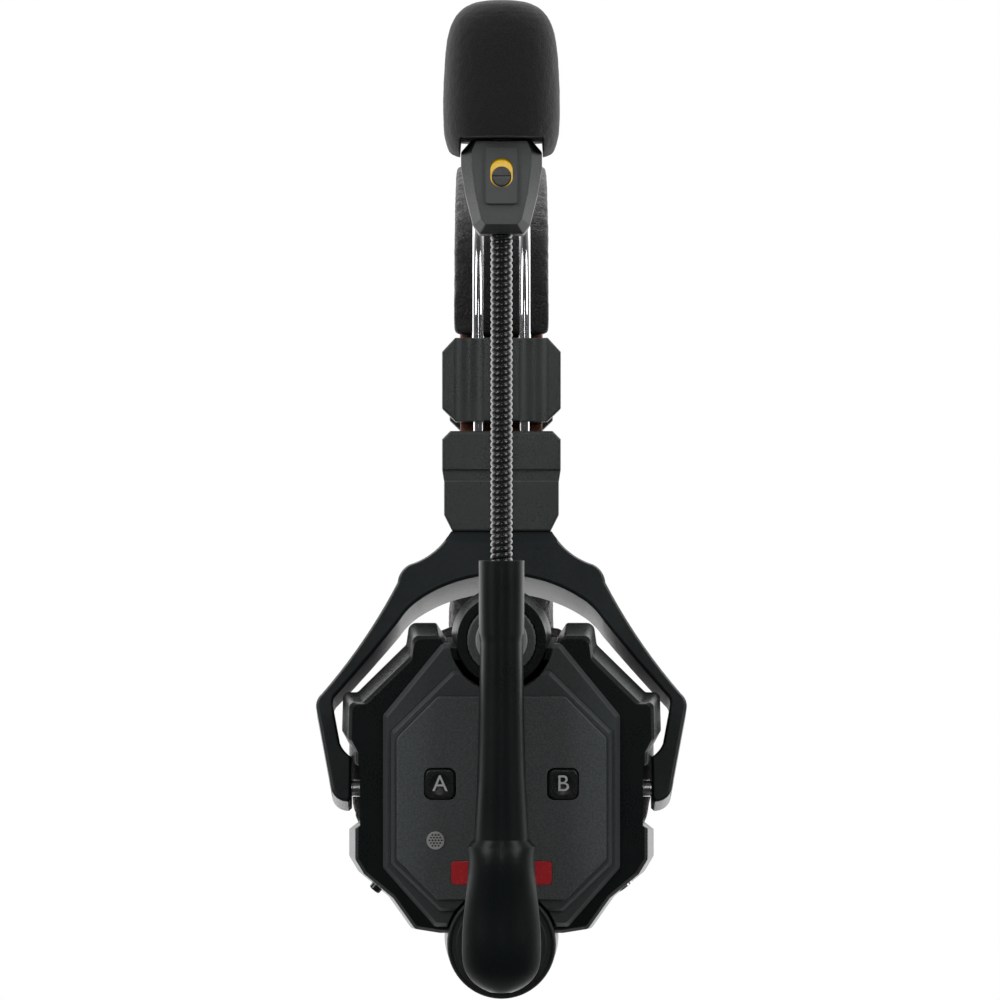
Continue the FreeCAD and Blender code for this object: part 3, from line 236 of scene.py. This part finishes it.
def woven_material():
    """Knitted speaker cloth: two crossing waves of thread."""
    g = Graph("speaker_cloth")
    pitch = 0.7 * MM
    threads = []
    for direction in ("X", "Z"):
        wave = g.add("ShaderNodeTexWave", bands_direction=direction)
        wave.inputs["Scale"].default_value = 1 / (pitch * 3.2)
        wave.inputs["Distortion"].default_value = 0.6
        g.feed(g.coords, wave.inputs["Vector"])
        threads.append(wave.outputs["Fac"])
    weave = g.math("MULTIPLY", *threads)
    g.set(Base_Color=g.mix(weave, (0.006, 0.006, 0.006), (0.045, 0.045, 0.047)))
    g.set(Roughness=0.9, Normal=g.bump(weave, 0.15 * MM))
    return g.material


def board_material():
    """Green solder mask with darker tracks."""
    g = Graph("solder_mask")
    tracks = g.remap(g.cells(2.2 * MM, "DISTANCE_TO_EDGE"), 0.02, 0.05, 1.0, 0.0)
    g.set(Base_Color=g.mix(tracks, (0.008, 0.06, 0.028), (0.02, 0.14, 0.06)))
    g.set(Roughness=0.3, Normal=g.bump(tracks, 0.05 * MM))
    return g.material


def neck_material():
    """Glossy black rubber over the gooseneck's coils."""
    g = Graph("gooseneck_rubber")
    film = g.noise(1.2 * MM, 3.0)
    g.set(Base_Color=g.mix(film, (0.006, 0.007, 0.007), (0.014, 0.015, 0.015)))
    g.set(Roughness=g.remap(film, 0.3, 0.7, 0.16, 0.30), Specular_IOR_Level=0.7)
    g.set(Normal=g.bump(g.noise(0.25 * MM), 0.01 * MM))
    return g.material


def front_sheen_plastic(name, dark, light, rough=0.34):
    """Satin plastic with a painted sheen: faces square to the front get a lighter colour than its facets, as
    if lit from the front.
    """
    g = Graph(name)
    fine = g.noise(0.25 * MM, 3.0, 0.6)
    split = g.add("ShaderNodeSeparateXYZ")
    g.feed(g.add("ShaderNodeNewGeometry").outputs["True Normal"], split.inputs[0])
    # painted sheen: faces whose normal points to the front take the light colour, the facets the dark one
    front = g.remap(split.outputs["Y"], -0.995, -0.97, 1.0, 0.0)
    body = g.mix(front, dark, light)
    body = g.mix(g.remap(fine, 0.4, 0.65, 0.0, 0.25), body, tinted(light, 1.5))
    g.set(Base_Color=body, Roughness=g.remap(fine, 0.3, 0.7, rough - 0.04, rough + 0.08))
    g.set(Normal=g.bump(fine, 0.006 * MM, 1.0, g.rounded(0.25 * MM)))
    return g.material


def glossy(name, colour, rough=0.18, glow=0.0):
    """Smooth gloss plastic with a faint orange-peel surface; glow paints light onto it as emission, though
    it is no lamp.
    """
    g = Graph(name)
    peel = g.noise(0.8 * MM, 2.0)
    g.set(Base_Color=g.mix(peel, tinted(colour, 0.9), tinted(colour, 1.1)))
    g.set(Roughness=g.remap(peel, 0.3, 0.7, rough, rough + 0.12), Coat_Weight=0.2)
    # painted light: emission that brightens the part as if it were out of shade
    g.set(Emission_Color=(*colour, 1.0), Emission_Strength=glow)
    g.set(Normal=g.bump(peel, 0.01 * MM, 1.0, g.rounded(0.2 * MM)))
    return g.material


INK_BLACK = (0.0055, 0.0085, 0.0080)
SATIN_BLACK = (0.0080, 0.0115, 0.0110)
STEEL = (0.42, 0.42, 0.43)

MATERIALS = {
    "chrome_rod": metal("chrome", (0.80, 0.80, 0.82), 0.09, (1, 0.05, 0.05)),
    "band_leather": leather("band_leather", (0.020, 0.018, 0.018)),
    "lining_leather": leather("lining_leather", (0.17, 0.052, 0.026), rough=0.55),
    "block_paint": coated("block_paint", (0.044, 0.049, 0.049), rough=0.30, wear=0.3, fleck=0.12),
    "block_inner_paint": coated("block_inner_paint", SATIN_BLACK, rough=0.4),
    "yoke_paint": coated("yoke_paint", (0.0125, 0.0160, 0.0165), 0.32 * MM, 0.030 * MM, 0.36, specular=0.35),
    "screw_steel": metal("black_screw", (0.09, 0.09, 0.095), 0.35),
    "pin_steel": metal("turned_steel", STEEL, 0.28, (1, 0.05, 0.05)),
    "bush_plastic": coated("bush_plastic", (0.02, 0.02, 0.02)),
    "shell_plastic": coated("shell_paint", INK_BLACK, 0.25 * MM, 0.006 * MM, 0.30, specular=0.25, fleck=0.1),
    "rear_plastic": coated("rear_plastic", INK_BLACK, 0.4 * MM, 0.02 * MM, 0.5),
    "bezel_plastic": coated("bezel_plastic", (0.042, 0.049, 0.049), 0.3 * MM, 0.012 * MM, 0.42, wear=0.25),
    "panel_plastic": coated("panel_plastic", (0.062, 0.070, 0.070), 0.42 * MM, 0.06 * MM, 0.55,
                            wear=0.3, fleck=0.40),
    "label_red": glossy("label_red", (0.68, 0.030, 0.040)),
    "button_plastic": coated("button_plastic", (0.010, 0.0115, 0.0115), 0.3 * MM, 0.004 * MM, 0.28),
    "mesh_metal": metal("mesh_metal", (0.75, 0.75, 0.74), 0.3),
    "component": coated("component_plastic", (0.03, 0.03, 0.03)),
    "dial_plastic": coated("dial_plastic", (0.075, 0.080, 0.080), 0.4 * MM, 0.03 * MM, 0.45),
    "dial_cap": coated("dial_cap", (0.42, 0.43, 0.43), rough=0.35, wear=0.1, fleck=0.05),
    "board_green": board_material(),
    "battery_wrap": glossy("battery_wrap", (0.08, 0.18, 0.42), 0.25),
    "port_steel": metal("port_steel", (0.6, 0.6, 0.61), 0.25),
    "power_plastic": glossy("power_plastic", (0.012, 0.014, 0.014)),
    "magnet_steel": metal("magnet_steel", STEEL, 0.3),
    "frame_plastic": coated("frame_plastic", (0.014, 0.014, 0.015), rough=0.5),
    "diaphragm_film": glossy("diaphragm_film", (0.45, 0.40, 0.30), 0.2),
    "baffle_plastic": coated("baffle_plastic", (0.012, 0.012, 0.013), rough=0.55),
    "ear_fabric": woven_material(),
    "ear_leather": leather("ear_leather", (0.024, 0.0185, 0.018), 0.8 * MM, 6 * MM, 0.45, 0.4 * MM),
    "boom_plastic": coated("boom_plastic", INK_BLACK, 0.25 * MM, 0.012 * MM, 0.33, wear=0.2,
                           specular=0.3, fleck=0.15),
    "ring_plastic": coated("ring_plastic", (0.017, 0.020, 0.020), 0.4 * MM, 0.04 * MM, 0.5),
    "neck_rubber": neck_material(),
    # head plastic with a painted sheen on its faces square to the front
    "head_plastic": front_sheen_plastic("head_plastic", SATIN_BLACK, (0.100, 0.106, 0.106)),
    # painted light: the yellow window glows to lift it out of the shade of its recess
    "window_yellow": glossy("window_yellow", (0.90, 0.54, 0.0), glow=0.6),
    "switch_plastic": coated("switch_plastic", (0.085, 0.086, 0.086), rough=0.35),
    "capsule_metal": metal("capsule_metal", (0.2, 0.2, 0.21), 0.35),
    "foam": foam_material(),
    "pad_leather": leather("pad_leather", (0.022, 0.018, 0.018), 0.8 * MM, 6 * MM, 0.45, 0.4 * MM),
}


def dress_cad_nodes():
    """Give every CAD node the material of its slot."""
    for part in frame["record"]["subparts"]:
        mesh = frame["nodes"][part["node"]].data
        mesh.materials.clear()
        mesh.materials.append(MATERIALS[part["material_slot"]])


# ---- making pieces ----
def add_piece(name, mesh, body, slot):
    """Put a finished mesh into the scene as a piece that rides on a body."""
    piece = bpy.data.objects.new(name, mesh)
    bpy.context.scene.collection.objects.link(piece)
    mesh.materials.clear()
    mesh.materials.append(MATERIALS[slot])
    for face in mesh.polygons:
        face.use_smooth = True
    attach(piece, body)
    return piece


def grid_mesh(name, rows):
    """Closed tube through rows of points, each row a ring, with a flat face on each end."""
    count = len(rows[0])
    points = [p for row in rows for p in row]
    faces = []
    for i in range(len(rows) - 1):
        for j in range(count):
            k = (j + 1) % count
            faces.append((i * count + j, i * count + k, (i + 1) * count + k, (i + 1) * count + j))
    faces.append(tuple(range(count))[::-1])
    faces.append(tuple((len(rows) - 1) * count + j for j in range(count)))
    mesh = bpy.data.meshes.new(name)
    mesh.from_pydata(points, [], faces)
    return mesh


def ring(centre, radius, steps, wobble=None):
    """Horizontal ring of points; wobble gives the change of radius at a point."""
    points = []
    for j in range(steps):
        a = 2 * math.pi * j / steps
        direction = Vector((math.cos(a), math.sin(a), 0))
        p = centre + direction * radius
        if wobble:
            p += direction * wobble(p)
        points.append(p)
    return points


def curve_through(points, steps):
    """Smooth curve through control points, as plain points."""
    padded = [points[0]] + points + [points[-1]]
    out = []
    for i in range(1, len(padded) - 2):
        p0, p1, p2, p3 = (Vector(p) for p in padded[i - 1:i + 3])
        for s in range(steps):
            t = s / steps
            out.append(0.5 * (2 * p1 + (p2 - p0) * t + (2 * p0 - 5 * p1 + 4 * p2 - p3) * t ** 2
                              + (3 * p1 - p0 - 3 * p2 + p3) * t ** 3))
    out.append(Vector(padded[-2]))
    return out


def remeshed_copy(node, voxel, scale):
    """Copy of a CAD node's mesh, enlarged and rebuilt from even small faces."""
    mesh = frame["nodes"][node].data.copy()
    for v in mesh.vertices:
        v.co *= scale
    piece = bpy.data.objects.new(node + "_soft", mesh)
    bpy.context.scene.collection.objects.link(piece)
    remesh = piece.modifiers.new("remesh", "REMESH")
    remesh.mode = "VOXEL"
    remesh.voxel_size = voxel * scale
    apply_modifiers(piece)
    return piece


def apply_modifiers(piece):
    depsgraph = bpy.context.evaluated_depsgraph_get()
    mesh = bpy.data.meshes.new_from_object(piece.evaluated_get(depsgraph))
    piece.modifiers.clear()
    piece.data = mesh


def normals_of(mesh):
    return [v.normal.copy() for v in mesh.vertices]


def relax(mesh, rounds, factor=0.5):
    """Move every vertex towards the middle of its neighbours."""
    links = [[] for _ in mesh.vertices]
    for edge in mesh.edges:
        a, b = edge.vertices
        links[a].append(b)
        links[b].append(a)
    for _ in range(rounds):
        old = [v.co.copy() for v in mesh.vertices]
        for v, near in zip(mesh.vertices, links):
            middle = sum((old[n] for n in near), Vector()) / len(near)
            v.co = old[v.index].lerp(middle, factor)


def inflate(piece, fixed, pressure, cap, frames=20):
    """Blow the piece up as cloth under pressure, with some vertices fixed, and keep the shape."""
    start = [v.co.copy() for v in piece.data.vertices]
    group = piece.vertex_groups.new(name="fixed")
    group.add([v.index for v in piece.data.vertices if fixed(v.co)], 1.0, "REPLACE")
    cloth = piece.modifiers.new("cloth", "CLOTH")
    cloth.settings.vertex_group_mass = "fixed"
    cloth.settings.use_pressure = True
    cloth.settings.uniform_pressure_force = pressure
    cloth.settings.effector_weights.gravity = 0
    cloth.settings.quality = 5
    cloth.settings.tension_stiffness = 12
    cloth.settings.compression_stiffness = 12
    cloth.settings.bending_stiffness = 0.4
    cloth.point_cache.frame_start = 1
    cloth.point_cache.frame_end = frames
    scene = bpy.context.scene
    for number in range(1, frames + 1):
        scene.frame_set(number)
    apply_modifiers(piece)
    for v, p in zip(piece.data.vertices, start):
        move = v.co - p
        if move.length > cap:
            v.co = p + move * (cap / move.length)
    scene.frame_set(1)


def subdivided(piece):
    smooth = piece.modifiers.new("smooth", "SUBSURF")
    smooth.levels = 1
    smooth.render_levels = 1
    apply_modifiers(piece)


SIM_SCALE = 10.0         # the simulation runs on a larger copy, where its solver is steady


def soft_pad(node, body, slot, voxel, shrink, fixed, pressure=4.0, cap=1.0 * MM, wrinkle=0.0):
    """Padded piece in place of a plain CAD solid: remeshed, shrunk, blown up and subdivided."""
    piece = remeshed_copy(node, voxel, SIM_SCALE)
    relax(piece.data, 3)
    lo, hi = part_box(node)
    for v, normal in zip(piece.data.vertices, normals_of(piece.data)):
        if not fixed(v.co / SIM_SCALE, lo, hi):
            v.co -= normal * shrink * SIM_SCALE
    inflate(piece, lambda co: fixed(co / SIM_SCALE, lo, hi), pressure, cap * SIM_SCALE)
    subdivided(piece)
    mesh = piece.data
    for v, normal in zip(mesh.vertices, normals_of(mesh)):
        v.co /= SIM_SCALE
        if wrinkle:
            ridge = abs(noise.noise(v.co / (3.5 * MM))) + 0.5 * abs(noise.noise(v.co / (1.4 * MM)))
            v.co += normal * wrinkle * (ridge - 0.35)
    bpy.data.objects.remove(piece)
    made = add_piece(node + "_soft", mesh, body, slot)
    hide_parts(node)
    return made


def ear_cushion():
    """Leather ring with wrinkles, held flat against the baffle plate."""
    def at_plate(co, lo, hi):
        return co.y < lo.y + 1.6 * MM

    soft_pad("ear_cushion", "ear_cup", "ear_leather", 1.5 * MM, 0.9 * MM, at_plate,
             wrinkle=0.35 * MM)


PAD_LEAN = math.radians(17)


def temple_pad():
    """Pad held against its plate, which leans with its top towards the head."""
    away = Vector((0, math.cos(PAD_LEAN), math.sin(PAD_LEAN)))
    back = max(v.co.dot(away) for v in frame["nodes"]["temple_pad"].data.vertices)

    def at_plate(co, lo, hi):
        return co.dot(away) > back - 1.0 * MM

    soft_pad("temple_pad", "temple_pad", "pad_leather", 1.4 * MM, 0.9 * MM, at_plate,
             wrinkle=0.25 * MM)


def headband_cushion():
    """Padded band under the rods, pinched along its two long edges."""
    def at_edge(co, lo, hi):
        return min(co.x - lo.x, hi.x - co.x) < 0.7 * MM

    soft_pad("headband_cushion", "headband", "band_leather", 1.3 * MM, 0.8 * MM, at_edge,
             wrinkle=0.15 * MM)


def headband_lining():
    """Thin brown lining with soft edges."""
    piece = remeshed_copy("headband_lining", 0.7 * MM, 1.0)
    relax(piece.data, 4)
    mesh = piece.data
    bpy.data.objects.remove(piece)
    for v, normal in zip(mesh.vertices, normals_of(mesh)):
        v.co += normal * 0.12 * MM * noise.noise(v.co / (4 * MM))
    made = add_piece("headband_lining_soft", mesh, "headband", "lining_leather")
    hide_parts("headband_lining")


def foam_windscreen():
    """Bulb of fine open-cell foam, notched from below for the microphone head."""
    lo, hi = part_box("foam_windscreen")
    centre = Vector(((lo.x + hi.x) / 2, (lo.y + hi.y) / 2, 0))
    radius = (hi.x - lo.x) / 2
    height = hi.z - lo.z
    outline = [(0.36, 0.000), (0.60, 0.000), (0.80, 0.004), (0.91, 0.040), (0.985, 0.150), (1.0, 0.33),
               (0.985, 0.52), (0.955, 0.68), (0.90, 0.80), (0.79, 0.895), (0.60, 0.963), (0.34, 0.993),
               (0.02, 1.0)]
    notch_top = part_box("mic_head_front")[1].z + 0.2 * MM
    notch_half = 8.2 * MM
    profile = curve_through([(r * radius, 0, lo.z + h * height) for r, h in outline], 14)

    def rough(p):
        return 0.05 * MM * noise.noise(p / (0.35 * MM)) + 0.05 * MM * noise.noise(p / (1.5 * MM))

    steps = 260
    inside = 0.99            # keeps the rough surface inside the solid's outline
    rows = []
    for p in profile:
        uneven = 0.05 * MM * noise.noise(p / (0.5 * MM))
        rows.append(ring(centre + Z_AXIS * (p.z + uneven), p.x * inside, steps, rough))
    for row in rows:
        for p in row:
            if abs(p.x - centre.x) < notch_half:
                p.z = max(p.z, notch_top)
    mesh = grid_mesh("foam_windscreen_cells", rows)
    made = add_piece("foam_windscreen_cells", mesh, "boom", "foam")
    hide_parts("foam_windscreen")


def gooseneck():
    """Flexible neck wound from round coils along its whole length."""
    lo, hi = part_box("gooseneck")
    centre = Vector(((lo.x + hi.x) / 2, (lo.y + hi.y) / 2, 0))
    radius = (hi.x - lo.x) / 2
    pitch = 1.24 * MM
    groove = 0.42 * MM       # depth between two coils
    steps = 72
    rows_per_coil = 10
    rows = []
    count = int((hi.z - lo.z) / pitch * rows_per_coil)
    for i in range(count + 1):
        z = lo.z + (hi.z - lo.z) * i / count
        row = []
        for j in range(steps):
            turn = j / steps
            phase = (z / pitch - turn) % 1.0
            bulge = math.sqrt(max(0.0, 1 - (2 * phase - 1) ** 2))
            r = radius - groove * (1 - bulge)
            a = 2 * math.pi * turn
            row.append(centre + Vector((math.cos(a) * r, math.sin(a) * r, z)))
        rows.append(row)
    made = add_piece("gooseneck_coils", grid_mesh("gooseneck_coils", rows), "boom", "neck_rubber")
    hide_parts("gooseneck")


def letter_material():
    g = Graph("letter_ink")
    worn = g.noise(0.4 * MM, 3.0)
    g.set(Base_Color=g.mix(worn, (0.62, 0.63, 0.63), (0.80, 0.81, 0.81)), Roughness=0.5)
    return g.material


def button_letter(letter, node):
    """Thin printed letter on a face button."""
    lo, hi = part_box(node)
    curve = bpy.data.curves.new("letter_" + letter.lower(), "FONT")
    curve.body = letter
    curve.size = 4.6 * MM
    curve.extrude = 0.03 * MM
    curve.align_x = "CENTER"
    curve.align_y = "CENTER"
    piece = bpy.data.objects.new("letter_" + letter.lower(), curve)
    bpy.context.scene.collection.objects.link(piece)
    piece.rotation_euler = (math.pi / 2, 0, 0)
    piece.location = ((lo.x + hi.x) / 2, lo.y - 0.01 * MM, (lo.z + hi.z) / 2)
    curve.materials.append(letter_material())
    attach(piece, node)


# ---- the room ----
def floor():
    """Pale round floor that fades into the white, low enough for the boom to swing down over it."""
    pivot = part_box("boom_pivot_shaft")
    pivot_z = (pivot[0].z + pivot[1].z) / 2
    reach_down = cad_box[1].z - pivot_z
    slide_room = 30 * MM
    mesh = bpy.data.meshes.new("floor")
    steps = 64
    reach = 0.6
    z = pivot_z - reach_down - slide_room
    points = [(reach * math.cos(2 * math.pi * i / steps), reach * math.sin(2 * math.pi * i / steps), z)
              for i in range(steps)]
    mesh.from_pydata(points, [], [tuple(range(steps))])
    piece = bpy.data.objects.new("floor", mesh)
    bpy.context.scene.collection.objects.link(piece)
    g = Graph("floor_paint")
    g.set(Base_Color=(0.9, 0.9, 0.9, 1.0), Roughness=0.9)
    g.set(Emission_Color=(1.0, 1.0, 1.0, 1.0), Emission_Strength=0.30)
    length = g.add("ShaderNodeVectorMath", operation="LENGTH")
    g.feed(g.coords, length.inputs[0])
    g.set(Alpha=g.remap(length.outputs["Value"], 0.15, 0.5, 1.0, 0.0))
    mesh.materials.append(g.material)


# Brightness of the studio by direction, from the camera's side (-1) to behind the part (1).
STUDIO = [(-1.0, 0.05), (-0.3, 0.06), (0.0, 0.25), (0.25, 0.6), (0.5, 2.6), (0.9, 2.6), (0.95, 1.0),
          (1.0, 1.0)]
PEAK = 2.6


def surroundings():
    """Studio with a bright ring behind the part, dim on the camera's side and seen as plain white."""
    world = bpy.data.worlds.new("studio")
    bpy.context.scene.world = world
    world.use_nodes = True
    tree = world.node_tree
    tree.nodes.clear()
    output = tree.nodes.new("ShaderNodeOutputWorld")
    direction = tree.nodes.new("ShaderNodeTexCoord").outputs["Generated"]
    split = tree.nodes.new("ShaderNodeSeparateXYZ")
    tree.links.new(direction, split.inputs[0])
    along = tree.nodes.new("ShaderNodeMapRange")
    along.inputs["From Min"].default_value = -1.0
    tree.links.new(split.outputs["Y"], along.inputs["Value"])
    ramp = tree.nodes.new("ShaderNodeValToRGB")
    tree.links.new(along.outputs["Result"], ramp.inputs["Fac"])
    stops = ramp.color_ramp.elements
    for y, level in STUDIO:
        place = (y + 1) / 2
        stop = stops[0] if place == 0 else stops[-1] if place == 1 else stops.new(place)
        stop.color = (level / PEAK, level / PEAK, level / PEAK, 1.0)
    gain = tree.nodes.new("ShaderNodeMath")
    gain.operation = "MULTIPLY"
    gain.inputs[1].default_value = PEAK
    tree.links.new(ramp.outputs["Color"], gain.inputs[0])
    lit = tree.nodes.new("ShaderNodeBackground")
    tree.links.new(gain.outputs[0], lit.inputs["Strength"])
    seen = tree.nodes.new("ShaderNodeBackground")
    for background in (lit, seen):
        background.inputs["Color"].default_value = (1.0, 1.0, 1.0, 1.0)
    both = tree.nodes.new("ShaderNodeMixShader")
    tree.links.new(tree.nodes.new("ShaderNodeLightPath").outputs["Is Camera Ray"], both.inputs[0])
    tree.links.new(lit.outputs[0], both.inputs[1])
    tree.links.new(seen.outputs[0], both.inputs[2])
    tree.links.new(both.outputs[0], output.inputs[0])


def soft_box(name, place, target, width, height, power):
    """Rectangular area light aimed at a point."""
    light = bpy.data.lights.new(name, "AREA")
    light.shape = "RECTANGLE"
    light.size = width
    light.size_y = height
    light.energy = power
    lamp = bpy.data.objects.new(name, light)
    bpy.context.scene.collection.objects.link(lamp)
    lamp.location = place
    lamp.rotation_euler = (Vector(target) - Vector(place)).to_track_quat("-Z", "Y").to_euler()


def lights():
    """Two tall soft boxes on the camera's side, and a weak strip over the camera."""
    middle = (0, -0.09, -0.07)
    for name, x, power in (("left_box", -0.73, 4.4), ("right_box", 0.73, 4.0)):
        soft_box(name, (x, -0.70, 0.48), middle, 0.35, 0.9, power)
    soft_box("front_strip", (0.0, -1.25, 0.25), middle, 0.08, 0.5, 0.7)


def camera():
    """Camera square to the ear cup, level with its upper half."""
    distance = 0.85
    view_width = 0.2         # width of the view at the cup's face
    side = -0.3 * MM
    height = -68 * MM
    data = bpy.data.cameras.new("camera")
    data.sensor_width = 36.0
    data.lens = data.sensor_width * distance / view_width
    lens = bpy.data.objects.new("camera", data)
    bpy.context.scene.collection.objects.link(lens)
    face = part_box("face_panel")[0].y
    lens.location = (side, face - distance, height)
    lens.rotation_euler = (math.pi / 2, 0, 0)
    bpy.context.scene.camera = lens


dress_cad_nodes()
ear_cushion()
temple_pad()
headband_cushion()
headband_lining()
foam_windscreen()
gooseneck()
button_letter("A", "button_a")
button_letter("B", "button_b")
floor()
surroundings()
lights()
camera()
bpy.context.scene.view_settings.view_transform = "Standard"
